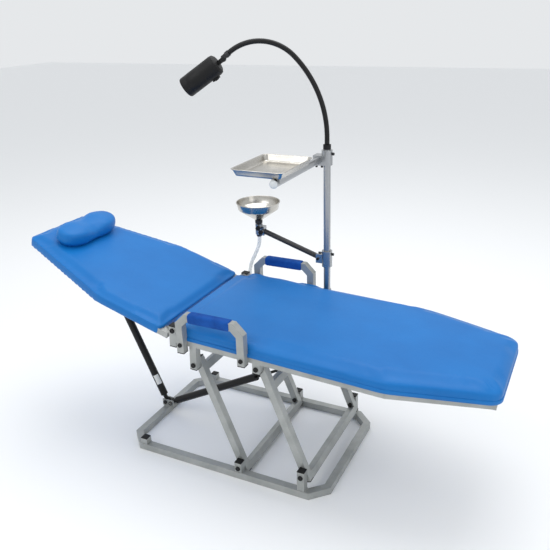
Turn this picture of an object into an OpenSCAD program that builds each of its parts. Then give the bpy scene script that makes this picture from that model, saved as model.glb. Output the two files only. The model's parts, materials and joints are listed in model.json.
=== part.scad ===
// Portable folding dental chair with backrest, tray, cuspidor and gooseneck lamp.
// X runs from the head end to the foot end, Y from the near side to the far side, Z up.
// The origin is on the floor, at the middle of the head-end tube of the base ring.

/* [Frame tube] */
// Side of the square steel tube of the base, legs and seat
tube = 25; // [20:1:30]
// Thickness of the plastic end caps
cap_t = 3; // [2:0.5:5]
// Radius of the pivot bolts
bolt_r = 5; // [3:0.5:6]
// Running clearance around a pivot bolt
bolt_play = 0.05; // [0.02:0.01:0.1]

/* [Base ring] */
// Outer length of the base ring
base_l = 779; // [700:1:850]
// Outer half width of the base ring and of the seat frame
frame_half_w = 255; // [240:1:280]
// Size of the corner cuts of the base ring
base_cut = 56; // [40:1:70]
// X of the low head-end rest posts
rest_post_x = 66; // [60:1:90]
// Height of the top of the head-end rest posts
rest_post_h = 50; // [40:1:60]

/* [Legs] */
// X of the lower pivots of the head-end leg frame
pivot_head_x = 454; // [440:1:470]
// Height of the lower pivots of the head-end leg frame
pivot_head_z = 41; // [38:1:45]
// X of the lower pivots of the foot-end leg frame
pivot_foot_x = 684.5; // [670:0.5:700]
// Height of the lower pivots of the foot-end leg frame
pivot_foot_z = 78.5; // [70:0.5:85]
// Distance between the lower and the upper pivot of a leg
leg_l = 392; // [380:1:400]
// Lean of the legs towards the head end
leg_lean = 21.7; // [18:0.1:25]

/* [Seat] */
// X of the backrest hinge
hinge_x = 238; // [230:1:245]
// Height of the backrest hinge
hinge_z = 517; // [510:1:525]
// Slope of the seat down to the foot end
seat_slope = 2.5; // [2.5:0.5:2.5]
// Distance from the hinge to the place where the seat starts to taper
seat_kink = 713; // [650:1:750]
// Distance from the hinge to the foot end of the seat pad
seat_end = 1020; // [980:1:1040]
// Half width of the seat pad at the foot end
seat_end_half_w = 177; // [160:1:200]
// Height of the seat pad's top above the hinge line
seat_top = 19; // [15:1:25]
// Height of the seat pad's underside, counted from the hinge line
seat_bottom = -16; // [-18:1:-14]
// Thickness of the plywood boards under the pads
board_t = 9; // [6:1:12]

/* [Backrest] */
// Slope of the backrest up to the head end
back_slope = 16.9; // [12:0.1:20]
// Distance from the hinge to the lower edge of the back pad
back_start = 41; // [38:1:50]
// Distance from the hinge to the place where the back pad starts to taper
back_kink = 304; // [280:1:330]
// Distance from the hinge to the head end of the back pad
back_end = 709; // [690:1:720]
// Half width of the back pad at the hinge
back_half_w = 260; // [255:1:265]
// Half width of the back pad at the head end
back_end_half_w = 142; // [130:1:160]
// Thickness of the back pad
back_pad_t = 42; // [40:1:46]
// Height of the flat tube of the back frame
back_tube_h = 20; // [18:1:22]

/* [Headrest] */
// Distance from the hinge to the middle of the headrest pillow
pillow_b = 590; // [560:1:610]
// Half width of the pillow
pillow_half_w = 150; // [120:1:160]
// Length of the pillow along the back
pillow_l = 128; // [110:1:150]
// Thickness of the pillow
pillow_t = 56; // [45:1:60]

/* [Armrests] */
// X of the head-end uprights of the armrests
arm_head_x = 282; // [276:1:290]
// X of the foot-end uprights of the armrests
arm_foot_x = 502; // [490:1:515]
// Height of the centre of the armrest's top tube
arm_z = 586; // [570:1:600]
// Height of the lower end of the armrest uprights
arm_bottom_z = 459; // [455:1:465]

/* [Gas springs] */
// Radius of the gas spring cylinders
spring_r = 14; // [12:0.5:15]
// Height of the lower spring pivots
spring_z = 40; // [39:1:44]
// X of the lower pivot of the backrest spring
spring_back_x = -8; // [-10:1:-6]
// X of the lower pivot of the lifting spring
spring_lift_x = 16; // [14:1:18]
// Distance from the hinge to the upper pivot of the backrest spring, along the back
spring_b = 484.3; // [480:0.1:490]
// Depth of that pivot under the hinge line
spring_n = 70.9; // [68:0.1:75]

/* [Pole and accessories] */
// X of the accessory pole
pole_x = 557; // [550:1:565]
// Y of the accessory pole
pole_y = 285; // [284:1:288]
// Radius of the accessory pole
pole_r = 12.5; // [11:0.5:14]
// Height of the top of the pole
pole_top = 1020; // [980:1:1050]
// Height of the axis of the tray arm
tray_arm_z = 980; // [970:1:990]
// Height of the rim of the tray
tray_z = 1020; // [1015:1:1030]
// Length of the tray along the chair
tray_x = 185; // [160:1:200]
// Length of the tray across the chair
tray_y = 244; // [220:1:260]
// Depth of the tray
tray_d = 24; // [18:1:26]
// Radius of the rim of the spittoon bowl
bowl_r = 80; // [70:1:90]
// Height of the rim of the spittoon bowl
bowl_z = 803; // [790:1:815]
// Diameter of the clear drain hose
hose_d = 14; // [10:1:16]

/* [Lamp] */
// Radius of the gooseneck
neck_r = 8.5; // [7:0.5:10]
// Compass direction of the gooseneck, counted from the foot end
neck_turn = 198; // [180:1:220]
// Radius of the lamp housing
lamp_r = 35; // [30:1:40]
// Length of the lamp housing
lamp_l = 140; // [120:1:150]
// Angle of the lamp below the horizon
lamp_dip = 34; // [20:1:50]

/* [Hidden] */

$fn = 48;
half = tube / 2;
bore_r = bolt_r + bolt_play;
rail_y = frame_half_w - half;        // centre of base tubes, rails, posts and stubs
rail_in = frame_half_w - tube;       // their inner face
leg_y = rail_in - 1.5 - half;        // centre of a leg tube, 1.5 mm inside the posts
seat_rail_top = seat_bottom - 0.5;   // the rails lie just under the pad
seat_rail_mid = seat_rail_top - half;
nut_t = 6;
nut_r = 8;
head_t = 4;
steel = [0.72, 0.74, 0.76];
black = [0.07, 0.07, 0.08];
blue = [0.09, 0.38, 0.74];
ply = [0.62, 0.47, 0.30];

// The upper pivots, where the seat stubs meet the legs
upper_head = [pivot_head_x - leg_l * sin(leg_lean), pivot_head_z + leg_l * cos(leg_lean)];
upper_foot = [pivot_foot_x - leg_l * sin(leg_lean), pivot_foot_z + leg_l * cos(leg_lean)];

// The upper pivot of the backrest spring, and the line of that spring
spring_top = [hinge_x - spring_b * cos(back_slope) - spring_n * sin(back_slope),
    hinge_z + spring_b * sin(back_slope) - spring_n * cos(back_slope)];
back_run = spring_top - [spring_back_x, spring_z];
back_spring_l = norm(back_run);
back_spring_angle = atan2(back_run[1], back_run[0]);
back_cylinder_end = 480;             // from the lower pivot
back_rod_l = 470;

// The upper pivot of the lifting spring, in the foot-end leg's own frame
clevis_x = -6.7;
clevis_z = 282;
leg_cross_z = 312;
spring_leg = [pivot_foot_x + clevis_x * cos(leg_lean) - clevis_z * sin(leg_lean),
    pivot_foot_z + clevis_x * sin(leg_lean) + clevis_z * cos(leg_lean)];
lift_run = spring_leg - [spring_lift_x, spring_z];
lift_spring_l = norm(lift_run);
lift_spring_angle = atan2(lift_run[1], lift_run[0]);
lift_cylinder_end = 436;             // from the lower pivot
lift_rod_in = 190;                   // rod length inside the cylinder with the seat raised
spring_eye_r = 10;
spring_eye_half = 9;
spring_plate_in = 9.5;               // inner face of the clevis plates
spring_plate_t = 4;
spring_bore_r = 11.2;

// Gooseneck: a short upright, a wide bend and a tight bend, then the lamp
neck_up = 40;
neck_bend_1 = 380;
neck_sweep_1 = 44;
neck_bend_2 = 163;
neck_sweep_2 = 84;
neck_end = [neck_bend_1 * (1 - cos(neck_sweep_1))
        + neck_bend_2 * (cos(neck_sweep_1) - cos(neck_sweep_1 + neck_sweep_2)),
    pole_top + neck_up + neck_bend_1 * sin(neck_sweep_1)
        + neck_bend_2 * (sin(neck_sweep_1 + neck_sweep_2) - sin(neck_sweep_1))];
lamp_hinge = [neck_end[0] + 20, neck_end[1] - 20];

// Cuspidor
bowl_x = 274;
bowl_y = 300;
outlet_r = 10;
outlet_end = 668;
arm_start = [pole_x - 27, pole_y + 2, 620];
arm_end = [bowl_x + 17, bowl_y, 691];
cuspidor_arm_r = 9.8;

// Drain hose, from the outlet tube down beside the chair
hose_route = [[274, 300, 668], [274, 300, 650], [270, 300, 630], [260, 301, 605], [247, 303, 580],
    [234, 305, 555], [225, 306, 525], [220, 307, 490], [218, 308, 450], [218, 308, 405], [218, 308, 360]];
hose_sides = 10;

function octagon(inset) = let (c = base_cut - inset * (2 - sqrt(2)), w = frame_half_w - inset,
    x0 = -half + inset, x1 = base_l - half - inset)
    [[x0 + c, -w], [x1 - c, -w], [x1, -w + c], [x1, w - c], [x1 - c, w], [x0 + c, w],
        [x0, w - c], [x0, -w + c]];

module cross_tube(x, z, half_l, h = tube) {
    translate([x - half, -half_l, z - h / 2]) cube([tube, 2 * half_l, h]);
}

module pin_y(x, z, r, y0, y1) {
    translate([x, min(y0, y1), z]) rotate([-90, 0, 0]) cylinder(r = r, h = abs(y1 - y0));
}

module both() {
    children();
    mirror([0, 1, 0]) children();
}

module on_leg(px, pz) {
    translate([px, 0, pz]) rotate([0, -leg_lean, 0]) children();
}

module on_seat() {
    translate([hinge_x, 0, hinge_z]) rotate([0, seat_slope, 0]) children();
}

module on_back() {
    translate([hinge_x, 0, hinge_z]) rotate([0, back_slope, 0]) children();
}

module on_back_spring() {
    translate([spring_back_x, 0, spring_z]) rotate([0, -back_spring_angle, 0]) children();
}

module on_lift_spring() {
    translate([spring_lift_x, 0, spring_z]) rotate([0, -lift_spring_angle, 0]) children();
}

module on_lamp() {
    translate([pole_x, pole_y, 0]) rotate([0, 0, neck_turn])
        translate([lamp_hinge[0], 0, lamp_hinge[1]]) rotate([0, lamp_dip, 0]) children();
}

// One pivot bolt: shank through post and leg, head outside, nut inside
module pivot_bolt(x, z) {
    pin_y(x, z, bolt_r, leg_y - half - 0.5, frame_half_w);
    pin_y(x, z, nut_r, frame_half_w, frame_half_w + head_t);
    pin_y(x, z, nut_r, leg_y - half - 0.5 - nut_t, leg_y - half - 0.5);
}

// ---- base ----
post_tops = [[rest_post_x, rest_post_h], [pivot_head_x, pivot_head_z + 24],
    [pivot_foot_x, pivot_foot_z + 22.5]];

module base_frame() {
    color(steel) difference() {
        union() {
            linear_extrude(tube) difference() {
                polygon(octagon(0));
                polygon(octagon(tube));
            }
            both() for (p = post_tops)
                translate([p[0] - half, rail_in, tube]) cube([tube, tube, p[1] - tube - cap_t]);
        }
        both() for (p = [[pivot_head_x, pivot_head_z], [pivot_foot_x, pivot_foot_z]])
            pin_y(p[0], p[1], bore_r, rail_in - 1, frame_half_w + 1);
    }
}

module base_post_caps() {
    color(black) both() for (p = post_tops)
        translate([p[0] - half, rail_in, p[1] - cap_t]) cube([tube, tube, cap_t]);
}

// Two plates on the head-end tube that hold the lower ends of both gas springs
module spring_bracket() {
    plate_x = 22;
    color(steel) difference() {
        union() {
            translate([-half, -20, tube]) cube([tube, 40, 3]);
            both() translate([4 - 1.15 * plate_x, spring_plate_in, tube])
                cube([2.3 * plate_x, spring_plate_t, 26]);
        }
        pin_y(spring_back_x, spring_z, bore_r, -20, 20);
    }
    color(black) {
        pin_y(spring_lift_x, spring_z, bolt_r, -17, 17);
        both() pin_y(spring_lift_x, spring_z, nut_r, 13.5, 18);
    }
}

module base_pivot_bolts() {
    color(black) both() {
        pivot_bolt(pivot_head_x, pivot_head_z);
        pivot_bolt(pivot_foot_x, pivot_foot_z);
    }
}

// ---- legs ----
leg_below = 34.5;
leg_above = 15;

module leg_tubes(upper_cross) {
    difference() {
        union() {
            both() translate([-half, leg_y - half, -leg_below + cap_t])
                cube([tube, tube, leg_below + leg_l + leg_above - 2 * cap_t]);
            cross_tube(0, -22, leg_y - half);
            cross_tube(0, upper_cross, leg_y - half);
        }
        both() for (z = [0, leg_l]) pin_y(0, z, bore_r, leg_y - half - 1, leg_y + half + 1);
    }
}

module leg_plugs() {
    both() for (z = [-leg_below, leg_l + leg_above - cap_t])
        translate([-half, leg_y - half, z]) cube([tube, tube, cap_t]);
}

module leg_head_frame() {
    color(steel) on_leg(pivot_head_x, pivot_head_z) leg_tubes(leg_l - 28);
}

module leg_head_plugs() {
    color(black) on_leg(pivot_head_x, pivot_head_z) leg_plugs();
}

// The foot-end leg frame carries the clevis of the lifting spring
module leg_foot_frame() {
    color(steel) on_leg(pivot_foot_x, pivot_foot_z) {
        leg_tubes(leg_cross_z);
        both() translate([clevis_x - 13, spring_plate_in, clevis_z - 13])
            cube([26, spring_plate_t, leg_cross_z - half - clevis_z + 13]);
    }
}

module leg_foot_plugs() {
    color(black) on_leg(pivot_foot_x, pivot_foot_z) leg_plugs();
}

module spring_clevis_bolts() {
    outer = spring_plate_in + spring_plate_t;
    color(black) on_leg(pivot_foot_x, pivot_foot_z)
        both() pin_y(clevis_x, clevis_z, nut_r, outer, outer + 5);
}

// ---- seat ----
foot_cross_l = seat_end - 13 - half;
foot_rail_y = seat_end_half_w - 20;

// The stubs that hang from the rails to the upper leg pivots: distance from the hinge and pivot depth
function to_seat(p) = let (dx = p[0] - hinge_x, dz = p[1] - hinge_z)
    [dx * cos(seat_slope) - dz * sin(seat_slope), dx * sin(seat_slope) + dz * cos(seat_slope)];
stub_head = to_seat(upper_head);
stub_foot = to_seat(upper_foot);
stub_below = 17;

module seat_frame() {
    rail_low = seat_rail_mid - half;
    taper = [foot_cross_l - seat_kink, foot_rail_y - rail_y];
    color(steel) on_seat() difference() {
        union() {
            both() {
                translate([half, rail_in, rail_low]) cube([seat_kink - half, tube, tube]);
                translate([seat_kink, rail_y, rail_low]) rotate([0, 0, atan2(taper[1], taper[0])])
                    translate([-3, -half, 0]) cube([norm(taper) + 3, tube, tube]);
                translate([-half, rail_in, -56]) cube([tube, tube, 70]);
                for (s = [stub_head, stub_foot])
                    translate([s[0] - half, rail_in, s[1] - stub_below + cap_t])
                        cube([tube, tube, rail_low - s[1] + stub_below - cap_t]);
            }
            for (l = [60, 400, seat_kink]) cross_tube(l, seat_rail_mid, rail_in);
            cross_tube(foot_cross_l, seat_rail_mid, foot_rail_y + half);
        }
        both() {
            for (p = [stub_head, stub_foot, [0, 0]])
                pin_y(p[0], p[1], bore_r, rail_in - 1, frame_half_w + 1);
        }
        rotate([0, -seat_slope, 0]) translate([-hinge_x, 0, -hinge_z]) armrest_bolt_shanks(4.1);
    }
}

module seat_caps() {
    color(black) on_seat() both() {
        for (s = [stub_head, stub_foot])
            translate([s[0] - half, rail_in, s[1] - stub_below]) cube([tube, tube, cap_t]);
        translate([-half, rail_in, 14]) cube([tube, tube, 4]);
        translate([-half, rail_in, -56 - cap_t]) cube([tube, tube, cap_t]);
    }
}

module seat_outline(inset) {
    tongue_w = 214;
    offset(r = 30) offset(delta = -30) polygon([[20 + inset, -258 + inset], [seat_kink, -264 + inset],
        [seat_end - inset, -seat_end_half_w + inset], [seat_end - inset, seat_end_half_w - inset],
        [seat_kink, 264 - inset], [20 + inset, 258 - inset]]);
    translate([-24 + inset, -tongue_w + inset]) square([90, 2 * (tongue_w - inset)]);
}

module seat_board() {
    color(ply) on_seat() translate([0, 0, seat_bottom]) linear_extrude(board_t) seat_outline(8);
}

module seat_pad() {
    edge = 9;
    color(blue) difference() {
        on_seat() difference() {
            union() {
                translate([0, 0, seat_bottom]) linear_extrude(seat_top - seat_bottom - edge)
                    seat_outline(0);
                translate([0, 0, seat_top - edge]) linear_extrude(edge * 0.5) seat_outline(2.2);
                translate([0, 0, seat_top - edge * 0.5]) linear_extrude(edge * 0.5) seat_outline(7);
            }
            translate([0, 0, seat_bottom - 1]) linear_extrude(board_t + 1) seat_outline(8);
        }
        both() for (x = [arm_head_x, arm_foot_x])
            translate([x - half - 1, frame_half_w, arm_bottom_z]) cube([tube + 2, 20, 120]);
    }
}

module seat_pivot_bolts() {
    color(black) both() for (p = [upper_head, upper_foot]) pivot_bolt(p[0], p[1]);
}

// Hinge bolts of the backrest, with their large heads on the inner side
lug_out = rail_in - 0.3;
lug_t = 6;

module back_hinge_bolts() {
    color(black) both() {
        pin_y(hinge_x, hinge_z, bolt_r, lug_out - lug_t - 0.4, frame_half_w);
        pin_y(hinge_x, hinge_z, 9, lug_out - lug_t - 0.4, lug_out - lug_t - 6.4);
        pin_y(hinge_x, hinge_z, nut_r, frame_half_w, frame_half_w + head_t);
    }
}

// ---- armrests ----
arm_y = frame_half_w + 0.3 + half;
arm_corner = 28;
grip_w = 33;
arm_bolts_x = [arm_head_x, arm_foot_x];

module armrest_bolt_shanks(r) {
    both() for (x = arm_bolts_x)
        pin_y(x, hinge_z - (x - hinge_x) * tan(seat_slope) + seat_rail_mid, r, rail_in - 1, arm_y + half);
}

// A bent tube with mitred corners, drawn from the side
module armrest_side() {
    outer_cut = arm_corner + 6;
    inner_cut = outer_cut - tube * (2 - sqrt(2));
    low = arm_bottom_z;
    top = arm_z + half;
    under = arm_z - half;
    left = [arm_head_x - half, arm_head_x + half];
    right = [arm_foot_x - half, arm_foot_x + half];
    difference() {
        translate([0, arm_y + half, 0]) rotate([90, 0, 0]) linear_extrude(tube)
            polygon([[left[0], low], [left[0], top - outer_cut], [left[0] + outer_cut, top],
                [right[1] - outer_cut, top], [right[1], top - outer_cut], [right[1], low],
                [right[0], low], [right[0], under - inner_cut], [right[0] - inner_cut, under],
                [left[1] + inner_cut, under], [left[1], under - inner_cut], [left[1], low]]);
        armrest_bolt_shanks(4.1);
    }
}

module armrest_far() {
    color(steel) armrest_side();
}

module armrest_near() {
    color(steel) mirror([0, 1, 0]) armrest_side();
}

module armrest_caps() {
    color(black) both() for (x = [arm_head_x, arm_foot_x])
        translate([x - half, arm_y - half, arm_bottom_z - cap_t]) cube([tube, tube, cap_t]);
}

module grip() {
    x0 = arm_head_x + arm_corner + 8;
    len = arm_foot_x - arm_head_x - 2 * (arm_corner + 8);
    translate([x0, arm_y, arm_z]) rotate([0, 90, 0]) difference() {
        intersection() {
            translate([-grip_w / 2, -grip_w / 2, 0]) cube([grip_w, grip_w, len]);
            cylinder(r = 20, h = len);
        }
        translate([-half, -half, -1]) cube([tube, tube, len + 2]);
    }
}

module grip_far() {
    color(blue) grip();
}

module grip_near() {
    color(blue) mirror([0, 1, 0]) grip();
}

module armrest_bolts() {
    color(black) {
        armrest_bolt_shanks(4);
        both() for (x = arm_bolts_x)
            pin_y(x, hinge_z - (x - hinge_x) * tan(seat_slope) + seat_rail_mid, 7,
                arm_y + half, arm_y + half + head_t);
    }
}

// ---- backrest, in its own frame: head end towards -X, top towards +Z ----
back_wrap = 5.3;
back_rail_top = -18;
back_rail_mid = back_rail_top - back_tube_h / 2;
back_rail_y = back_half_w - back_wrap - half;
back_rail_end = back_end - 8 - half;
back_rail_end_y = back_end_half_w - back_wrap - half + 4;

module backrest_frame() {
    taper = [-(back_rail_end - back_kink), back_rail_end_y - back_rail_y];
    low = back_rail_top - back_tube_h;
    color(steel) on_back() difference() {
        union() {
            both() {
                translate([-back_kink, back_rail_y - half, low])
                    cube([back_kink - 15, tube, back_tube_h]);
                translate([-back_kink, back_rail_y, low])
                    rotate([0, 0, atan2(taper[1], taper[0])])
                    translate([-3, -half, 0]) cube([norm(taper) + 3, tube, back_tube_h]);
                translate([0, lug_out, 0]) rotate([90, 0, 0]) {
                    cylinder(r = 16, h = lug_t);
                    linear_extrude(lug_t)
                        polygon([[-11.3, 11.3], [-40, back_rail_top], [-90, back_rail_top], [-90, low],
                            [-18, low], [3, -15]]);
                }
                translate([-spring_b - 14, spring_plate_in, -spring_n - 12])
                    cube([28, spring_plate_t, spring_n + 12 + low]);
            }
            cross_tube(-75, back_rail_mid, back_rail_y, back_tube_h);
            cross_tube(-back_kink, back_rail_mid, back_rail_y, back_tube_h);
            cross_tube(-spring_b, back_rail_mid, 188, back_tube_h);
            cross_tube(-back_rail_end, back_rail_mid, back_rail_end_y + half, back_tube_h);
        }
        both() pin_y(0, 0, bore_r, lug_out - lug_t - 1, lug_out + 1);
        pin_y(-spring_b, -spring_n, bore_r, -20, 20);
    }
}

module back_outline(inset) {
    offset(r = 28) offset(delta = -28) polygon([[-back_start - inset, -back_half_w + inset],
        [-back_kink, -back_half_w + inset], [-back_end + inset, -back_end_half_w + inset],
        [-back_end + inset, back_end_half_w - inset], [-back_kink, back_half_w - inset],
        [-back_start - inset, back_half_w - inset]]);
}

module backrest_board() {
    color(ply) on_back() translate([0, 0, back_rail_top]) linear_extrude(7) back_outline(8);
}

module backrest_pad() {
    edge = 9;
    color(blue) on_back() difference() {
        union() {
            translate([0, 0, -back_pad_t]) linear_extrude(back_pad_t - edge) back_outline(0);
            translate([0, 0, -edge]) linear_extrude(edge * 0.5) back_outline(2.2);
            translate([0, 0, -edge * 0.5]) linear_extrude(edge * 0.5) back_outline(7);
        }
        translate([0, 0, back_rail_top]) linear_extrude(7) back_outline(8);
        translate([0, 0, -back_pad_t - 1]) linear_extrude(back_pad_t + 1 + back_rail_top)
            polygon([[0, -back_half_w + back_wrap], [-back_kink - 3, -back_half_w + back_wrap],
                [-back_rail_end - half - 1, -back_rail_end_y - half - 1],
                [-back_rail_end - half - 1, back_rail_end_y + half + 1],
                [-back_kink - 3, back_half_w - back_wrap], [0, back_half_w - back_wrap]]);
    }
}

// ---- headrest ----
strip_t = 1;

module headrest_strips() {
    color(black) on_back() for (y = [-80, 80])
        translate([-pillow_b - 55, y - 20, 0]) cube([110, 40, strip_t]);
}

// A pillow with two round lobes and a shallow waist between them
module headrest_pillow() {
    lobe = pillow_l / 2;
    lift = strip_t + 0.4;
    color(blue) on_back() translate([-pillow_b, 0, lift]) {
        for (y = [-1, 1]) translate([0, y * (pillow_half_w - lobe), 0]) hull() {
            cylinder(r = lobe - 14, h = pillow_t, $fn = 32);
            translate([0, 0, 12]) cylinder(r = lobe, h = pillow_t - 32, $fn = 32);
        }
        translate([-lobe + 14, -pillow_half_w + lobe, 0])
            cube([2 * (lobe - 14), 2 * (pillow_half_w - lobe), pillow_t - 8]);
    }
}

// ---- gas springs, along their own X axis from the lower pivot ----
module cross_bolt(half_l) {
    pin_y(0, 0, bolt_r, -half_l - 1, half_l + 1);
    both() pin_y(0, 0, nut_r, half_l + 0.2, half_l + 4.5);
}

module spring_cylinder(end, rod_hole) {
    difference() {
        union() {
            pin_y(0, 0, spring_eye_r, -spring_eye_half, spring_eye_half);
            rotate([0, 90, 0]) cylinder(r = 8, h = 30);
            translate([28, 0, 0]) rotate([0, 90, 0]) cylinder(r = spring_r, h = end - 28);
        }
        pin_y(0, 0, bore_r, -spring_eye_half - 1, spring_eye_half + 1);
        translate([36, 0, 0]) rotate([0, 90, 0]) cylinder(r = spring_bore_r, h = end - 36 - 8);
        translate([end - 12, 0, 0]) rotate([0, 90, 0]) cylinder(r = rod_hole, h = 20);
    }
}

module back_spring_lower_pin() {
    color(black) translate([spring_back_x, 0, spring_z]) cross_bolt(spring_plate_in + spring_plate_t);
}

module back_spring_cylinder() {
    color(black) on_back_spring() spring_cylinder(back_cylinder_end, 9.7);
}

module back_spring_upper_pin() {
    color(black) on_back() translate([-spring_b, 0, -spring_n])
        cross_bolt(spring_plate_in + spring_plate_t);
}

module back_spring_rod() {
    color(steel) on_back_spring() translate([back_spring_l, 0, 0]) difference() {
        union() {
            pin_y(0, 0, spring_eye_r, -spring_eye_half, spring_eye_half);
            translate([-back_rod_l, 0, 0]) rotate([0, 90, 0]) cylinder(r = 4, h = back_rod_l);
            translate([-back_rod_l, 0, 0]) rotate([0, 90, 0]) cylinder(r = 6, h = 12);
            translate([-26, 0, 0]) rotate([0, 90, 0]) cylinder(r = 7, h = 26);
        }
        pin_y(0, 0, bore_r, -spring_eye_half - 1, spring_eye_half + 1);
    }
}

module lift_spring_cylinder() {
    color(black) on_lift_spring() spring_cylinder(lift_cylinder_end, bore_r);
}

module lift_spring_rod() {
    rod_l = lift_spring_l - lift_cylinder_end + lift_rod_in;
    color(black) on_lift_spring() translate([lift_spring_l, 0, 0]) {
        pin_y(0, 0, spring_eye_r - 1, -spring_eye_half + 0.5, spring_eye_half - 0.5);
        translate([-rod_l, 0, 0]) rotate([0, 90, 0]) cylinder(r = bolt_r, h = rod_l);
        translate([-rod_l, 0, 0]) rotate([0, 90, 0]) cylinder(r = spring_bore_r - 0.3, h = 14);
        translate([-22, 0, 0]) rotate([0, 90, 0]) cylinder(r = 7, h = 22);
    }
}

// ---- pole ----
socket_low = 402;
socket_top = 500;
socket_r = pole_r + 3.5;
knob_z = 425;
rail_at_pole = hinge_z - (pole_x - hinge_x) * tan(seat_slope) + seat_rail_mid;

module pole_socket() {
    color(steel) difference() {
        union() {
            translate([pole_x, pole_y, socket_low]) cylinder(r = socket_r, h = socket_top - socket_low);
            translate([pole_x - 25, frame_half_w, rail_at_pole - half + 1])
                cube([50, pole_y - frame_half_w - 10, tube - 2]);
            translate([pole_x, pole_y + pole_r + 1, knob_z]) rotate([-90, 0, 0]) cylinder(r = 8, h = 9);
        }
        translate([pole_x, pole_y, socket_low - 1]) cylinder(r = pole_r + 0.08, h = 200);
        translate([pole_x, pole_y, knob_z]) rotate([-90, 0, 0]) cylinder(r = 3.08, h = 40);
    }
}

// Star knob on a screw, its axis along Y
module knob(r, shank_r, shank_l, t) {
    rotate([-90, 0, 0]) {
        cylinder(r = shank_r, h = shank_l + 1);
        translate([0, 0, shank_l]) {
            cylinder(r = r * 0.8, h = t);
            for (a = [0:60:300]) rotate([0, 0, a]) translate([r * 0.72, 0, 0])
                cylinder(r = r * 0.28, h = t);
        }
    }
}

module socket_knob() {
    color(black) translate([pole_x, pole_y + pole_r + 0.4, knob_z]) knob(16, 3, 13, 12);
}

module pole() {
    color(steel) translate([pole_x, pole_y, socket_low + 2])
        cylinder(r = pole_r, h = pole_top - socket_low - 2);
}

// ---- tray ----
clamp_play = 0.06;
tray_arm_x = pole_x - 27;
tray_arm_end = -84;
tray_x1 = pole_x + 7;
tray_y1 = 160;

module upper_clamp() {
    z0 = 966;
    color(steel) difference() {
        union() {
            translate([pole_x, pole_y, z0]) cylinder(r = 19, h = 52);
            translate([tray_arm_x - 18, pole_y - 19, z0]) cube([pole_x - tray_arm_x + 18, 38, 34]);
        }
        translate([pole_x, pole_y, z0 - 1]) cylinder(r = pole_r + clamp_play, h = 60);
        translate([tray_arm_x, pole_y - 30, tray_arm_z + 3]) rotate([-90, 0, 0])
            cylinder(r = pole_r + clamp_play, h = 60);
    }
}

module upper_clamp_screws() {
    color(black) for (x = [tray_arm_x - 8, pole_x - 15])
        translate([x, pole_y - 10, 958]) cylinder(r = 4, h = 8);
    color(black) translate([pole_x + 19, pole_y, 1005]) rotate([0, 90, 0]) cylinder(r = 5, h = 7);
}

module tray_arm() {
    color(steel) translate([tray_arm_x, tray_arm_end + 8, tray_arm_z + 3]) rotate([-90, 0, 0])
        cylinder(r = pole_r, h = pole_y + 22 - tray_arm_end - 8);
}

module tray_arm_cap() {
    color([0.8, 0.82, 0.84]) translate([tray_arm_x, tray_arm_end + 8, tray_arm_z + 3])
        rotate([90, 0, 0]) rotate_extrude()
        polygon(concat([[0, 0]], [for (a = [0:15:90]) [(pole_r + 1) * cos(a), 9 * sin(a)]]));
}

// Flat strip that sits on the arm and carries the tray floor
module tray_support() {
    top = tray_z - tray_d - 0.2;
    seat_z = tray_arm_z + 3;
    color(steel) difference() {
        translate([tray_arm_x - 14, -62, seat_z]) cube([28, 180, top - seat_z]);
        translate([tray_arm_x, -70, seat_z]) rotate([-90, 0, 0]) cylinder(r = pole_r + 0.02, h = 200);
    }
}

module tray_screws() {
    color(black) for (y = [-50, -20])
        translate([tray_arm_x - 16, y, tray_arm_z - 13]) cylinder(r = 4, h = 12);
}

module round_slab(x0, y0, x1, y1, r, z, t) {
    translate([0, 0, z]) linear_extrude(t) offset(r = r) offset(delta = -r)
        translate([x0, y0]) square([x1 - x0, y1 - y0]);
}

module tray() {
    x0 = tray_x1 - tray_x;
    y0 = tray_y1 - tray_y;
    lip = 6;
    slant = 9;
    t = 1.5;
    floor_z = tray_z - tray_d;
    color([0.6, 0.6, 0.58]) difference() {
        union() {
            round_slab(x0, y0, tray_x1, tray_y1, 20, tray_z - t, t);
            hull() {
                round_slab(x0 + lip, y0 + lip, tray_x1 - lip, tray_y1 - lip, 16, tray_z - t, t);
                round_slab(x0 + lip + slant, y0 + lip + slant, tray_x1 - lip - slant,
                    tray_y1 - lip - slant, 12, floor_z, t);
            }
        }
        hull() {
            round_slab(x0 + lip + t, y0 + lip + t, tray_x1 - lip - t, tray_y1 - lip - t, 15,
                tray_z, 0.1);
            round_slab(x0 + lip + slant + t, y0 + lip + slant + t, tray_x1 - lip - slant - t,
                tray_y1 - lip - slant - t, 11, floor_z + t, 0.1);
        }
    }
}

// ---- cuspidor ----
module lower_clamp() {
    z0 = 592;
    color(steel) difference() {
        union() {
            translate([pole_x, pole_y, z0]) cylinder(r = 19, h = 60);
            translate([arm_start[0] - 12, pole_y - 13, z0 + 12]) cube([26, 30, 34]);
        }
        translate([pole_x, pole_y, z0 - 1]) cylinder(r = pole_r + clamp_play, h = 70);
        translate([arm_start[0] - 14, arm_start[1] - 10.2, z0 + 11]) cube([19, 20.4, 36]);
    }
}

module lower_clamp_screws() {
    color(black) translate([arm_start[0] - 4, arm_start[1] - 20, arm_start[2]]) rotate([-90, 0, 0])
        difference() {
            cylinder(r = 5, h = 40);
            translate([0, 0, 5]) cylinder(r = 6, h = 30);
        }
    color(black) translate([pole_x + 19, pole_y, 640]) rotate([0, 90, 0]) cylinder(r = 5, h = 7);
}

module arm_bar(r, longer) {
    run = arm_end - arm_start;
    flat = norm([run[0], run[1]]);
    translate(arm_start) rotate([0, 0, atan2(run[1], run[0])])
        rotate([0, -atan2(run[2], flat), 0]) rotate([0, 90, 0])
        cylinder(r = r, h = norm(run) + longer);
}

module cuspidor_arm() {
    color([0.13, 0.13, 0.14]) arm_bar(cuspidor_arm_r, 0);
}

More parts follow.
